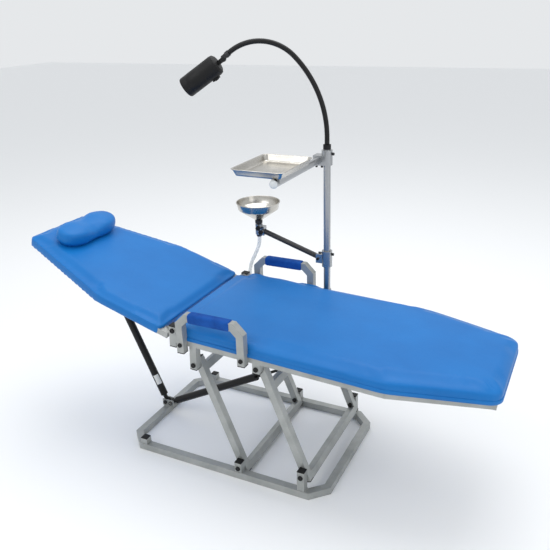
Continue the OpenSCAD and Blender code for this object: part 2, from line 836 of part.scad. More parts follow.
// Collar on the outlet tube, with two clamp screws
module cuspidor_bracket() {
    color([0.85, 0.86, 0.87]) difference() {
        union() {
            translate([bowl_x, bowl_y, 676]) cylinder(r = 14, h = 40);
            translate([bowl_x, bowl_y - 11, 675]) cube([26, 22, 35]);
            translate([bowl_x + 8, bowl_y - 10, 706]) rotate([90, 0, 0]) cylinder(r = 6, h = 5);
            translate([bowl_x + 18, bowl_y - 9, 690]) rotate([90, 0, 0]) cylinder(r = 6, h = 5);
        }
        translate([bowl_x, bowl_y, 670]) cylinder(r = outlet_r + 0.05, h = 60);
        arm_bar(cuspidor_arm_r + 0.05, 0.1);
        for (p = [[8, 706], [18, 690]]) translate([bowl_x + p[0], bowl_y - 8.5, p[1]])
            rotate([90, 0, 0]) cylinder(r = 2.55, h = 12);
    }
}

module bracket_knob_upper() {
    color(black) translate([bowl_x + 8, bowl_y - 12, 706]) mirror([0, 1, 0]) knob(9, 2.5, 8, 9);
}

module bracket_knob_lower() {
    color(black) translate([bowl_x + 18, bowl_y - 10, 690]) mirror([0, 1, 0]) knob(9, 2.5, 8, 9);
}

module bowl() {
    t = 1.5;
    band = 29;
    cone_end = 735;
    rim = [for (a = [-150:30:180]) [bowl_r + 1 + 2 * cos(a), bowl_z - 1 + 2 * sin(a)]];
    color([0.62, 0.60, 0.56]) translate([bowl_x, bowl_y, 0]) rotate_extrude()
        polygon(concat([[bowl_r, bowl_z - band], [outlet_r + t, cone_end],
            [outlet_r + t, cone_end - 12], [outlet_r + 0.05, cone_end - 12],
            [outlet_r + 0.05, cone_end + 1], [bowl_r - t, bowl_z - band + 1], [bowl_r - t, bowl_z]],
            [for (i = [len(rim) - 1:-1:0]) if (rim[i][0] > bowl_r - 0.9) rim[i]]));
}

module outlet_tube() {
    color([0.15, 0.15, 0.16]) translate([bowl_x, bowl_y, outlet_end]) difference() {
        cylinder(r = outlet_r, h = 735 - outlet_end);
        translate([0, 0, -1]) cylinder(r = outlet_r - 2.5, h = 80);
    }
}

// Points of one ring of the hose around the route point i
function hose_dir(i) = let (a = hose_route[max(i - 1, 0)], b = hose_route[min(i + 1, len(hose_route) - 1)])
    (b - a) / norm(b - a);
function hose_ring(i) = let (d = hose_dir(i), u = cross([0, 1, 0], d), v = cross(d, u / norm(u)))
    [for (k = [0:hose_sides - 1]) let (a = 360 * k / hose_sides)
        hose_route[i] + hose_d / 2 * (cos(a) * u / norm(u) + sin(a) * v)];

module drain_hose() {
    n = len(hose_route);
    s = hose_sides;
    color([0.85, 0.88, 0.9]) polyhedron(points = [for (i = [0:n - 1]) each hose_ring(i)],
        faces = concat([[for (k = [0:s - 1]) s - 1 - k]], [[for (k = [0:s - 1]) (n - 1) * s + k]],
            [for (i = [0:n - 2]) for (k = [0:s - 1])
                [i * s + k, i * s + (k + 1) % s, (i + 1) * s + (k + 1) % s, (i + 1) * s + k]]));
}

// ---- lamp ----
module gooseneck_socket() {
    color(black) translate([pole_x, pole_y, pole_top + 0.3]) cylinder(r = pole_r + 1, h = 16);
}

// Small collars cover the places where the straight piece and the two bends meet
module gooseneck() {
    gap = 0.2;
    up = neck_up - 16.3;
    second = [neck_bend_1 - (neck_bend_1 - neck_bend_2) * cos(neck_sweep_1),
        up + (neck_bend_1 - neck_bend_2) * sin(neck_sweep_1)];
    join = [neck_bend_1 * (1 - cos(neck_sweep_1)), up + neck_bend_1 * sin(neck_sweep_1)];
    color(black) translate([pole_x, pole_y, pole_top + 16.3]) rotate([0, 0, neck_turn]) {
        cylinder(r = neck_r, h = up - gap);
        translate([0, 0, up - 3]) cylinder(r = neck_r + 0.8, h = 6);
        translate([neck_bend_1, 0, up]) rotate([90, 0, 0]) rotate([0, 0, 180 - neck_sweep_1])
            rotate_extrude(angle = neck_sweep_1 - gap) translate([neck_bend_1, 0]) circle(r = neck_r);
        translate([join[0], 0, join[1]]) rotate([0, neck_sweep_1, 0]) translate([0, 0, -3])
            cylinder(r = neck_r + 0.8, h = 6);
        translate([second[0], 0, second[1]]) rotate([90, 0, 0])
            rotate([0, 0, 180 - neck_sweep_1 - neck_sweep_2])
            rotate_extrude(angle = neck_sweep_2 - gap) translate([neck_bend_2, 0]) circle(r = neck_r);
    }
}

// Fork at the end of the gooseneck, around the lamp's tongue
module lamp_yoke() {
    dip = neck_sweep_1 + neck_sweep_2 - 90;
    color([0.2, 0.2, 0.21]) translate([pole_x, pole_y, 0]) rotate([0, 0, neck_turn]) difference() {
        union() {
            translate([neck_end[0], 0, neck_end[1]]) rotate([0, dip, 0]) {
                rotate([0, 90, 0]) cylinder(r = 10.5, h = 13);
                both() translate([8, 4.3, -8]) cube([20, 3.5, 16]);
            }
            both() pin_y(lamp_hinge[0], lamp_hinge[1], 9, 4.3, 7.8);
        }
        pin_y(lamp_hinge[0], lamp_hinge[1], 3.05, -12, 12);
        translate([neck_end[0], 0, neck_end[1]]) rotate([0, dip, 0])
            translate([13, -4.3, -12]) cube([30, 8.6, 24]);
    }
}

module lamp_tilt_screw() {
    color(black) translate([pole_x, pole_y, 0]) rotate([0, 0, neck_turn]) {
        pin_y(lamp_hinge[0], lamp_hinge[1], 3, -8, 8);
        both() pin_y(lamp_hinge[0], lamp_hinge[1], 6, 7.9, 12);
    }
}

module lamp_housing() {
    rear = 22;
    wall = 3;
    color(black) on_lamp() difference() {
        union() {
            pin_y(0, 0, 7.5, -4, 4);
            translate([0, -4, -7.5]) cube([rear + 3, 8, 15]);
            translate([rear, 0, 0]) rotate([0, 90, 0]) rotate_extrude() polygon([[0, 0],
                [lamp_r - 9, 0], [lamp_r - 2, 5], [lamp_r, 14], [lamp_r, lamp_l - 6],
                [lamp_r - 2, lamp_l], [0, lamp_l]]);
            translate([rear + 22, -9, -lamp_r - 5]) cube([26, 18, 12]);
        }
        pin_y(0, 0, 3.05, -6, 6);
        translate([rear + 16, 0, 0]) rotate([0, 90, 0]) cylinder(r = lamp_r - wall, h = lamp_l);
        translate([rear + 28, -5.3, -lamp_r - 6]) cube([14, 10.6, 4.6]);
    }
}

module lamp_lens() {
    color([0.85, 0.88, 0.9]) on_lamp() translate([22 + lamp_l - 12, 0, 0]) rotate([0, 90, 0])
        cylinder(r = lamp_r - 3.3, h = 4);
}

module lamp_switch() {
    color(black) on_lamp() translate([22 + 28.5, -4.8, -lamp_r - 7]) cube([13, 9.6, 4]);
}

base_frame();
base_post_caps();
spring_bracket();
base_pivot_bolts();
leg_head_frame();
leg_head_plugs();
leg_foot_frame();
leg_foot_plugs();
spring_clevis_bolts();
seat_frame();
seat_caps();
seat_board();
seat_pad();
seat_pivot_bolts();
back_hinge_bolts();
armrest_near();
armrest_far();
armrest_caps();
grip_near();
grip_far();
armrest_bolts();
backrest_frame();
backrest_board();
backrest_pad();
headrest_strips();
headrest_pillow();
back_spring_lower_pin();
back_spring_cylinder();
back_spring_upper_pin();
back_spring_rod();
lift_spring_cylinder();
lift_spring_rod();
pole_socket();
socket_knob();
pole();
upper_clamp();
upper_clamp_screws();
tray_arm();
tray_arm_cap();
tray_support();
tray_screws();
tray();
lower_clamp();
lower_clamp_screws();
cuspidor_arm();
cuspidor_bracket();
bracket_knob_upper();
bracket_knob_lower();
bowl();
outlet_tube();
drain_hose();
gooseneck_socket();
gooseneck();
lamp_yoke();
lamp_tilt_screw();
lamp_housing();
lamp_lens();
lamp_switch();
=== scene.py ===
"""Portable folding dental chair: materials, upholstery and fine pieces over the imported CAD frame."""
import json
from math import atan2, cos, pi, radians, sin

import bmesh
import bpy
from mathutils import Matrix, Vector


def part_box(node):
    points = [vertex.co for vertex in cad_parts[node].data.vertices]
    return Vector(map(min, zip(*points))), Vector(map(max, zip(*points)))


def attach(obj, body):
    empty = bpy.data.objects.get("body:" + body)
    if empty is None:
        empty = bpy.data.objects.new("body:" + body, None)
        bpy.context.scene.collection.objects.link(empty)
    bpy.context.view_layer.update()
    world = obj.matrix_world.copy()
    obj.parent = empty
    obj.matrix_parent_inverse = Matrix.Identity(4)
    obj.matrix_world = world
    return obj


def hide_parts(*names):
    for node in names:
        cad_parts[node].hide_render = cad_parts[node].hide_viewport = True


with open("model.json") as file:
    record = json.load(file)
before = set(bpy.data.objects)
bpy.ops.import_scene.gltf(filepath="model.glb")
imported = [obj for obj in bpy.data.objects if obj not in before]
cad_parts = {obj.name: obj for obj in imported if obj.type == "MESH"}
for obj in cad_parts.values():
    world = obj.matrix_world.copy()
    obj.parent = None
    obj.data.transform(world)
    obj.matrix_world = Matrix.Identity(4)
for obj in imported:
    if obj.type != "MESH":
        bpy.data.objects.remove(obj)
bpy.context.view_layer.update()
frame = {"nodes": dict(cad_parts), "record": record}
scene = bpy.context.scene

MM = 0.001
HINGE = Vector((0.238, 0.0, 0.517))
SEAT = Matrix.Translation(HINGE) @ Matrix.Rotation(radians(2.5), 4, "Y")
BACK = Matrix.Translation(HINGE) @ Matrix.Rotation(radians(16.9), 4, "Y")
POLE = Vector((0.557, 0.285, 0.0))
NECK = Matrix.Translation(POLE) @ Matrix.Rotation(radians(198), 4, "Z")
NECK_TOP = 1.020
BEND_1, SWEEP_1 = 0.380, 44
BEND_2, SWEEP_2 = 0.163, 84


# ---------------------------------------------------------------- camera and light
def place_camera():
    yaw, pitch, roll = radians(-26.86), radians(22.29), radians(-1.79)
    look = Vector((sin(yaw) * cos(pitch), cos(yaw) * cos(pitch), -sin(pitch)))
    right = Vector((cos(yaw), -sin(yaw), 0))
    up = right.cross(look)
    side = cos(roll) * right + sin(roll) * up
    top = -sin(roll) * right + cos(roll) * up
    data = bpy.data.cameras.new("camera")
    data.sensor_width = 36
    data.lens = 36 * 666 / 550
    camera = bpy.data.objects.new("camera", data)
    scene.collection.objects.link(camera)
    turn = Matrix((side, top, -look)).transposed().to_4x4()
    camera.matrix_world = Matrix.Translation((1.409, -1.820, 1.490)) @ turn
    scene.camera = camera


def area_light(name, place, target, size, power, colour=(1, 1, 1)):
    data = bpy.data.lights.new(name, "AREA")
    data.shape = "RECTANGLE"
    data.size, data.size_y = size
    data.energy = power
    data.color = colour
    light = bpy.data.objects.new(name, data)
    scene.collection.objects.link(light)
    light.location = place
    light.rotation_euler = (Vector(target) - Vector(place)).to_track_quat("-Z", "Y").to_euler()


def studio():
    scene.view_settings.view_transform = "Standard"
    world = bpy.data.worlds.new("studio")
    scene.world = world
    world.use_nodes = True
    ground = world.node_tree.nodes["Background"]
    ground.inputs["Color"].default_value = (0.93, 0.95, 0.97, 1)
    ground.inputs["Strength"].default_value = 0.85
    area_light("key", (-0.6, -2.2, 3.2), (0.2, 0, 0.5), (2.4, 2.0), 26)
    area_light("top", (0.4, 0.9, 3.4), (0.4, 0.1, 0.5), (3.0, 2.4), 48)
    area_light("side", (3.0, -0.8, 1.6), (0.4, 0, 0.5), (1.4, 2.0), 9)
    mesh = bpy.data.meshes.new("floor")
    s = 14
    mesh.from_pydata([(-s, -s, 0), (s, -s, 0), (s, s, 0), (-s, s, 0)], [], [(0, 1, 2, 3)])
    floor = bpy.data.objects.new("floor", mesh)
    floor.location.z = -0.0005
    scene.collection.objects.link(floor)
    mesh.materials.append(simple_material("floor_paint", (0.90, 0.91, 0.92), 0.6, grain=400, bump=0.02))


# ---------------------------------------------------------------- materials
class Shader:
    """A node material: the fixed numbers sit on the Principled sockets, textures are linked in."""

    def __init__(self, name, colour, roughness, metallic=0.0, **sockets):
        self.material = bpy.data.materials.new(name)
        self.material.use_nodes = True
        self.tree = self.material.node_tree
        self.main = self.tree.nodes["Principled BSDF"]
        self.main.inputs["Base Color"].default_value = (*colour, 1)
        self.main.inputs["Roughness"].default_value = roughness
        self.main.inputs["Metallic"].default_value = metallic
        for key, value in sockets.items():
            self.main.inputs[key.replace("_", " ")].default_value = value
        self.coords = self.tree.nodes.new("ShaderNodeTexCoord").outputs["Object"]
        self.normal = None

    def link(self, a, b):
        self.tree.links.new(a, b)

    def noise(self, scale, detail=4, stretch=None, rough=0.55):
        node = self.tree.nodes.new("ShaderNodeTexNoise")
        node.inputs["Scale"].default_value = scale
        node.inputs["Detail"].default_value = detail
        node.inputs["Roughness"].default_value = rough
        source = self.coords
        if stretch:
            mapping = self.tree.nodes.new("ShaderNodeMapping")
            mapping.inputs["Scale"].default_value = stretch
            self.link(self.coords, mapping.inputs["Vector"])
            source = mapping.outputs["Vector"]
        self.link(source, node.inputs["Vector"])
        return node.outputs["Fac"]

    def cells(self, scale, feature="F1"):
        node = self.tree.nodes.new("ShaderNodeTexVoronoi")
        node.feature = feature
        node.inputs["Scale"].default_value = scale
        self.link(self.coords, node.inputs["Vector"])
        return node.outputs["Distance"]

    def ramp(self, value, low, high, colour_low, colour_high):
        node = self.tree.nodes.new("ShaderNodeValToRGB")
        node.color_ramp.elements[0].position = low
        node.color_ramp.elements[1].position = high
        node.color_ramp.elements[0].color = (*colour_low, 1)
        node.color_ramp.elements[1].color = (*colour_high, 1)
        self.link(value, node.inputs["Fac"])
        return node.outputs["Color"]

    def colour(self, value, dark, light, low=0.35, high=0.65):
        self.link(self.ramp(value, low, high, dark, light), self.main.inputs["Base Color"])

    def roughness(self, value, low, high):
        node = self.tree.nodes.new("ShaderNodeMapRange")
        node.inputs["To Min"].default_value = low
        node.inputs["To Max"].default_value = high
        self.link(value, node.inputs["Value"])
        self.link(node.outputs["Result"], self.main.inputs["Roughness"])

    def bump(self, height, strength, distance):
        node = self.tree.nodes.new("ShaderNodeBump")
        node.inputs["Strength"].default_value = strength
        node.inputs["Distance"].default_value = distance
        self.link(height, node.inputs["Height"])
        if self.normal:
            self.link(self.normal, node.inputs["Normal"])
        self.normal = node.outputs["Normal"]
        self.link(self.normal, self.main.inputs["Normal"])

    def bevel(self, radius):
        node = self.tree.nodes.new("ShaderNodeBevel")
        node.samples = 4
        node.inputs["Radius"].default_value = radius
        self.normal = node.outputs["Normal"]
        self.link(self.normal, self.main.inputs["Normal"])


def simple_material(name, colour, roughness, metallic=0.0, grain=300, bump=0.1, **sockets):
    shader = Shader(name, colour, roughness, metallic, **sockets)
    shader.roughness(shader.noise(grain / 6), roughness * 0.85, min(1, roughness * 1.15))
    shader.bump(shader.noise(grain), bump, 0.0003)
    return shader.material


def silver_paint():
    shader = Shader("silver_paint", (0.36, 0.37, 0.365), 0.4, 0.45)
    shader.bevel(0.0018)
    shader.colour(shader.noise(14, 6), (0.30, 0.315, 0.305), (0.42, 0.43, 0.42), 0.3, 0.7)
    shader.roughness(shader.noise(60), 0.32, 0.48)
    shader.bump(shader.noise(1400, 2), 0.22, 0.0002)
    return shader.material


def blue_vinyl(name, dark, light):
    shader = Shader(name, light, 0.42, 0.0, Specular_IOR_Level=0.28)
    shader.colour(shader.noise(5, 5), dark, light, 0.3, 0.7)
    shader.roughness(shader.noise(180), 0.36, 0.50)
    shader.bump(shader.noise(9, 3), 0.25, 0.003)
    shader.bump(shader.cells(620, "SMOOTH_F1"), 0.16, 0.0004)
    shader.bump(shader.noise(1500, 3), 0.10, 0.0002)
    return shader.material


def foam_grip():
    shader = Shader("blue_foam", (0.005, 0.065, 0.33), 0.8, 0.0, Specular_IOR_Level=0.2)
    shader.colour(shader.noise(30, 4), (0.004, 0.055, 0.27), (0.007, 0.080, 0.36))
    shader.bump(shader.cells(900), 0.45, 0.0004)
    return shader.material


def brushed(name, colour, roughness, stretch=(1, 1, 40)):
    shader = Shader(name, colour, roughness, 1.0)
    shader.bevel(0.0008)
    shader.roughness(shader.noise(60, 6, stretch), roughness * 0.75, roughness * 1.35)
    shader.bump(shader.noise(260, 3, stretch), 0.12, 0.0002)
    return shader.material


def stainless():
    shader = Shader("stainless", (0.58, 0.56, 0.52), 0.22, 1.0)
    shader.colour(shader.noise(9, 6), (0.44, 0.42, 0.38), (0.64, 0.62, 0.58), 0.3, 0.75)
    shader.roughness(shader.noise(40, 6), 0.14, 0.34)
    shader.bump(shader.noise(160, 5), 0.05, 0.0003)
    return shader.material


def black_paint(name, colour, roughness):
    shader = Shader(name, colour, roughness, 0.0, Specular_IOR_Level=0.3)
    shader.bevel(0.0008)
    shader.roughness(shader.noise(70), roughness * 0.8, roughness * 1.3)
    shader.bump(shader.noise(700, 3), 0.12, 0.0002)
    return shader.material


def plywood():
    shader = Shader("plywood", (0.42, 0.29, 0.16), 0.7)
    grain = shader.noise(8, 8, (1, 14, 14), 0.65)
    shader.colour(grain, (0.33, 0.21, 0.11), (0.52, 0.38, 0.23), 0.3, 0.7)
    shader.bump(grain, 0.2, 0.0006)
    return shader.material


def clear_hose():
    shader = Shader("clear_hose", (0.93, 0.95, 0.96), 0.18, 0.0, Transmission_Weight=0.55, IOR=1.4)
    shader.roughness(shader.noise(50), 0.12, 0.3)
    shader.bump(shader.noise(90, 3), 0.15, 0.0006)
    return shader.material


def ribbed_sheath():
    shader = Shader("gooseneck_sheath", (0.006, 0.006, 0.0065), 0.45, 0.0, Specular_IOR_Level=0.3)
    shader.roughness(shader.noise(80), 0.34, 0.52)
    shader.bump(shader.noise(1200, 2), 0.12, 0.0002)
    return shader.material


def lens_glass():
    shader = Shader("lens", (0.95, 0.97, 1.0), 0.06, 0.0, Transmission_Weight=0.9, IOR=1.46)
    shader.bump(shader.cells(260), 0.2, 0.0006)
    return shader.material


def make_materials():
    black = (0.006, 0.006, 0.0065)
    made = {
        "silver_paint": silver_paint(),
        "black_plastic": black_paint("black_plastic", black, 0.5),
        "black_bolts": black_paint("black_bolts", (0.008, 0.008, 0.0085), 0.38),
        "spring_paint": black_paint("spring_paint", (0.004, 0.004, 0.0045), 0.34),
        "chrome_rod": brushed("chrome_rod", (0.72, 0.73, 0.75), 0.14),
        "blue_vinyl": blue_vinyl("blue_vinyl", (0.0030, 0.138, 0.44), (0.0045, 0.165, 0.50)),
        "blue_foam": foam_grip(),
        "plywood": plywood(),
        "pole_metal": brushed("pole_metal", (0.40, 0.41, 0.42), 0.28, (1, 1, 1)),
        "grey_plastic": simple_material("grey_plastic", (0.62, 0.65, 0.67), 0.4),
        "stainless": stainless(),
        "dark_tube": black_paint("dark_tube", (0.03, 0.03, 0.032), 0.26),
        "clear_hose": clear_hose(),
        "gooseneck_sheath": ribbed_sheath(),
        "lamp_black": black_paint("lamp_black", (0.004, 0.004, 0.0045), 0.5),
        "lens": lens_glass(),
        "label": simple_material("label", (0.72, 0.73, 0.72), 0.55),
        "reflector": simple_material("reflector", (0.9, 0.9, 0.9), 0.12, 1.0),
    }
    return made


# ---------------------------------------------------------------- mesh helpers
def new_piece(name, verts, faces, slot_name, body, smooth=True):
    mesh = bpy.data.meshes.new(name)
    mesh.from_pydata([tuple(v) for v in verts], [], faces)
    mesh.validate()
    for polygon in mesh.polygons:
        polygon.use_smooth = smooth
    piece = bpy.data.objects.new(name, mesh)
    scene.collection.objects.link(piece)
    mesh.materials.append(MATERIALS[slot_name])
    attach(piece, body)
    return piece


def rings_to_faces(count, sides, closed_ends=(True, True)):
    faces = []
    for i in range(count - 1):
        for k in range(sides):
            a, b = i * sides + k, i * sides + (k + 1) % sides
            faces.append((a, b, b + sides, a + sides))
    if closed_ends[0]:
        faces.append(tuple(reversed(range(sides))))
    if closed_ends[1]:
        faces.append(tuple(range((count - 1) * sides, count * sides)))
    return faces


def lathe(name, place, profile, slot_name, body, sides=64, closed=False):
    """profile: (radius, height) pairs about place's Z axis, outline closed for a ring section."""
    verts = []
    for r, h in profile:
        for k in range(sides):
            a = 2 * pi * k / sides
            verts.append(place @ Vector((r * cos(a), r * sin(a), h)))
    ends = (not closed, not closed)
    faces = rings_to_faces(len(profile), sides, ends)
    if closed:
        last = (len(profile) - 1) * sides
        faces += [(last + k, last + (k + 1) % sides, (k + 1) % sides, k) for k in range(sides)]
    piece = new_piece(name, verts, faces, slot_name, body)
    bm = bmesh.new()
    bm.from_mesh(piece.data)
    bmesh.ops.recalc_face_normals(bm, faces=bm.faces)
    bm.to_mesh(piece.data)
    bm.free()
    edge = piece.modifiers.new("edges", "EDGE_SPLIT")
    edge.split_angle = radians(38)
    return piece


def bolt_head(name, centre, axis, radius, height, body):
    """A domed socket-cap head with a six-sided recess, sitting over the plain CAD head."""
    place = Matrix.Translation(centre) @ Vector(axis).to_track_quat("Z", "Y").to_matrix().to_4x4()
    verts, rings = [], []
    hexes = [1 - 0.12 * abs(sin(3 * 2 * pi * k / 24)) for k in range(24)]
    outline = [(radius, 0, 0), (radius, height * 0.55, 0), (radius * 0.86, height, 0),
               (radius * 0.52, height * 1.06, 1), (radius * 0.50, height * 0.45, 1)]
    for r, h, is_hex in outline:
        ring = []
        for k in range(24):
            a = 2 * pi * k / 24
            scale = hexes[k] if is_hex else 1
            ring.append(place @ Vector((r * scale * cos(a), r * scale * sin(a), h)))
        verts += ring
    return new_piece(name, verts, rings_to_faces(len(outline), 24), "black_bolts", body, smooth=False)


def rounded_outline(points, radius, steps=8):
    """Walk round a convex outline and replace each corner by an arc of that radius."""
    out = []
    n = len(points)
    for i in range(n):
        p, a, b = Vector(points[i]), Vector(points[i - 1]), Vector(points[(i + 1) % n])
        u, v = (a - p).normalized(), (b - p).normalized()
        angle = u.angle(v)
        if angle > radians(176):
            out.append(p)
            continue
        r = radius[i] if isinstance(radius, (list, tuple)) else radius
        reach = r / (sin(angle / 2) / cos(angle / 2))
        start, end = p + u * reach, p + v * reach
        middle = p + (u + v).normalized() * (r / sin(angle / 2))
        a0, a1 = start - middle, end - middle
        sweep = a0.angle_signed(a1)
        for k in range(steps + 1):
            turn = Matrix.Rotation(-sweep * k / steps, 2)
            out.append(middle + turn @ a0)
    return out


def inset_outline(points, distance):
    """Move every point of a closed counter-clockwise outline inwards."""
    out = []
    n = len(points)
    for i in range(n):
        a, b = points[i - 1], points[(i + 1) % n]
        along = (b - a).normalized()
        out.append(points[i] + Vector((-along.y, along.x)) * distance)
    return out


def evenly(points, spacing):
    """Extra points so that no side is longer than the spacing."""
    out = []
    n = len(points)
    for i in range(n):
        a, b = points[i], points[(i + 1) % n]
        parts = max(1, int((b - a).length / spacing))
        out += [a.lerp(b, k / parts) for k in range(parts)]
    return out


def pad_form(outline, bottom, top, edge, under=None):
    """Closed pad: flat underside, upright side and a top edge that rounds over."""
    layers = [(inset_outline(outline, 0.0015), bottom), (outline, bottom + 0.003)]
    for k in range(6):
        a = pi / 2 * k / 5
        layers.append((inset_outline(outline, edge * (1 - cos(a)) + 0.0001), top - edge + edge * sin(a)))
    verts = [Vector((p.x, p.y, z)) for ring, z in layers for p in ring]
    faces = rings_to_faces(len(layers), len(outline))
    mesh = bpy.data.meshes.new("form")
    mesh.from_pydata([tuple(v) for v in verts], [], faces)
    return mesh


def evaluated_copy(piece):
    depsgraph = bpy.context.evaluated_depsgraph_get()
    return bpy.data.meshes.new_from_object(piece.evaluated_get(depsgraph))


def inflate(mesh, voxel, pressure, cap, held, frames=20):
    """Remesh the form, blow it up as cloth, and keep each point within cap of where it began."""
    piece = bpy.data.objects.new("inflate", mesh)
    scene.collection.objects.link(piece)
    remesh = piece.modifiers.new("remesh", "REMESH")
    remesh.mode = "VOXEL"
    remesh.voxel_size = voxel
    even = evaluated_copy(piece)
    piece.modifiers.clear()
    piece.data = even
    start = [v.co.copy() for v in even.vertices]
    pinned = piece.vertex_groups.new(name="held")
    pinned.add([i for i, p in enumerate(start) if held(p)], 1.0, "REPLACE")
    cloth = piece.modifiers.new("cloth", "CLOTH")
    cloth.settings.quality = 4
    cloth.settings.mass = 0.2
    cloth.settings.tension_stiffness = 12
    cloth.settings.compression_stiffness = 12
    cloth.settings.shear_stiffness = 6
    cloth.settings.bending_stiffness = 1.2
    cloth.settings.vertex_group_mass = "held"
    cloth.settings.use_pressure = True
    cloth.settings.uniform_pressure_force = pressure
    cloth.settings.effector_weights.gravity = 0
    cloth.collision_settings.use_collision = False
    cloth.point_cache.frame_start = 1
    cloth.point_cache.frame_end = frames
    for number in range(1, frames + 1):
        scene.frame_set(number)
    moved = evaluated_copy(piece)
    piece.modifiers.clear()
    middle = sum(start, Vector()) / len(start)
    for vertex, home, now in zip(even.vertices, start, moved.vertices):
        step = now.co - home
        for axis in (0, 1):
            if step[axis] * (home[axis] - middle[axis]) < 0:
                step[axis] = 0.0
        limit = cap(home)
        if step.length > limit:
            step = step * (limit / step.length)
        vertex.co = home + step
    scene.frame_set(1)
    bm = bmesh.new()
    bm.from_mesh(piece.data)
    loose = [v for v in bm.verts if not held(v.co)]
    for _ in range(4):
        bmesh.ops.smooth_vert(bm, verts=loose, factor=0.5, use_axis_x=True, use_axis_y=True,
                              use_axis_z=True)
    bm.to_mesh(piece.data)
    bm.free()
    result = piece.data
    bpy.data.objects.remove(piece)
    return result


def cushion(name, mesh, place, body, nodes, slot_name="blue_vinyl"):
    mesh.transform(place)
    mesh.name = name
    for polygon in mesh.polygons:
        polygon.use_smooth = True
    mesh.materials.clear()
    mesh.materials.append(MATERIALS[slot_name])
    piece = bpy.data.objects.new(name, mesh)
    scene.collection.objects.link(piece)
    smooth = piece.modifiers.new("smooth", "SUBSURF")
    smooth.levels = smooth.render_levels = 1
    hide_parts(*nodes)
    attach(piece, body)
    return piece


# ---------------------------------------------------------------- upholstery
def mirrored(points):
    """Complete an outline given for y < 0 from the head end to the foot end."""
    return points + [(x, -y) for x, y in reversed(points)]


def seat_cushion():
    bottom, top = -0.016, 0.0175
    points = mirrored([(-0.0235, -0.2135), (0.019, -0.2135), (0.0215, -0.2560), (0.713, -0.2620),
                       (1.0185, -0.1755)])
    corners = [0.006, 0.002, 0.016, 0.16, 0.045, 0.045, 0.16, 0.016, 0.002, 0.006]
    outline = evenly(rounded_outline(points, corners), 0.02)
    form = pad_form(outline, bottom, top, 0.015)

    def held(p):
        return p.z < bottom + 0.004

    def cap(p):
        near_arm = any(abs(p.x - x) < 0.035 and abs(p.y) > 0.24 for x in (0.044, 0.264))
        if near_arm or p.x < 0.03:
            return 0.0
        return 0.0055 if p.z > top - 0.006 else 0.0012

    mesh = inflate(form, 0.006, 4.0, cap, held)
    for vertex in mesh.vertices:
        p = vertex.co
        for x in (0.044, 0.264):
            depth = max(0.0, 1 - ((p.x - x) / 0.030) ** 2)
            limit = 0.2700 - 0.0160 * depth ** 0.5 if depth > 0 else 0.2700
            if abs(p.y) > limit:
                p.y = limit if p.y > 0 else -limit
    crown(mesh, 0.0115, 0.30, -0.02, 1.02, 0.26)
    piece = cushion("seat_cushion", mesh, SEAT, "seat", ["seat_pad"])
    edge = [p for p in evenly(rounded_outline(points, corners), 0.01)]
    skirt("seat_cushion_edge", edge, -0.0225, -0.0095, SEAT, "seat")
    return piece


def back_cushion():
    bottom, top = -0.042, -0.0015
    points = mirrored([(-0.7110, -0.1440), (-0.304, -0.2585), (-0.0425, -0.2585)])
    corners = [0.018, 0.16, 0.020, 0.020, 0.16, 0.018]
    outline = evenly(rounded_outline(points, corners), 0.014)
    form = pad_form(outline, bottom, top, 0.015)

    def held(p):
        return p.z < bottom + 0.004

    def cap(p):
        if p.x > -0.05:
            return 0.0
        return 0.0055 if p.z > top - 0.008 else 0.0006

    mesh = inflate(form, 0.006, 4.0, cap, held)
    keep_outside(mesh, outline, 0.0012, -0.030, -0.0085)
    crown(mesh, 0.006, 0.35, -0.71, -0.04, 0.26)
    return cushion("back_cushion", mesh, BACK, "backrest", ["backrest_pad"])


def keep_outside(mesh, outline, depth, low, high):
    """Push the sides back out to within depth of the outline, so that they cover the board's edge."""
    for vertex in mesh.vertices:
        p = vertex.co
        if not low < p.z < high:
            continue
        nearest, push = 1.0, None
        for i, b in enumerate(outline):
            a = outline[i - 1]
            along = (b - a).normalized()
            inward = Vector((-along.y, along.x))
            inside = (Vector((p.x, p.y)) - a).dot(inward)
            if inside < nearest:
                nearest, push = inside, inward
        if depth < nearest < 0.02:
            p.x -= push.x * (nearest - depth)
            p.y -= push.y * (nearest - depth)


def crown(mesh, height, softness, x0, x1, half):
    """Raise the upper face smoothly towards the middle of the pad."""
    for vertex in mesh.vertices:
        p = vertex.co
        across = max(0.0, 1 - (p.y / half) ** 2)
        along = max(0.0, 1 - ((2 * p.x - x0 - x1) / (x1 - x0)) ** 4)
        if p.z > -0.004:
            p.z += height * (across * along) ** softness * min(1.0, (p.z + 0.004) / 0.018)


def skirt(name, outline, low, high, place, body):
    """The vinyl drawn down over the edge of the board, as a thin closed band."""
    verts = []
    for offset, z in ((0.0004, high), (0.0012, high - 0.004), (0.0014, low + 0.0012), (-0.0002, low), (-0.0030, low),
                      (-0.0030, high)):
        ring = inset_outline(outline, -offset)
        verts += [place @ Vector((p.x, max(-0.263, min(0.263, p.y)), z)) for p in ring]
    n = len(outline)
    faces = rings_to_faces(6, n, (False, False))
    faces += [(5 * n + k, 5 * n + (k + 1) % n, (k + 1) % n, k) for k in range(n)]
    piece = new_piece(name, verts, faces, "blue_vinyl", body)
    return piece


def headrest_straps():
    """Two thin hook-and-loop strips that hold the pillow, sewn short of its edge."""
    for side in (-1, 1):
        y = side * 0.075
        half = [(-0.036, -0.012), (0.036, -0.012), (0.036, 0.012), (-0.036, 0.012)]
        ring = rounded_outline(half, 0.003, 4)
        verts = [BACK @ Vector((-0.580 + p.x, y + p.y, z)) for z in (0.0002, 0.0012) for p in ring]
        piece = new_piece(f"headrest_strap_{'near' if side < 0 else 'far'}", verts,
                          rings_to_faces(2, len(ring)), "black_plastic", "backrest", smooth=False)
        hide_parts("headrest_strips")


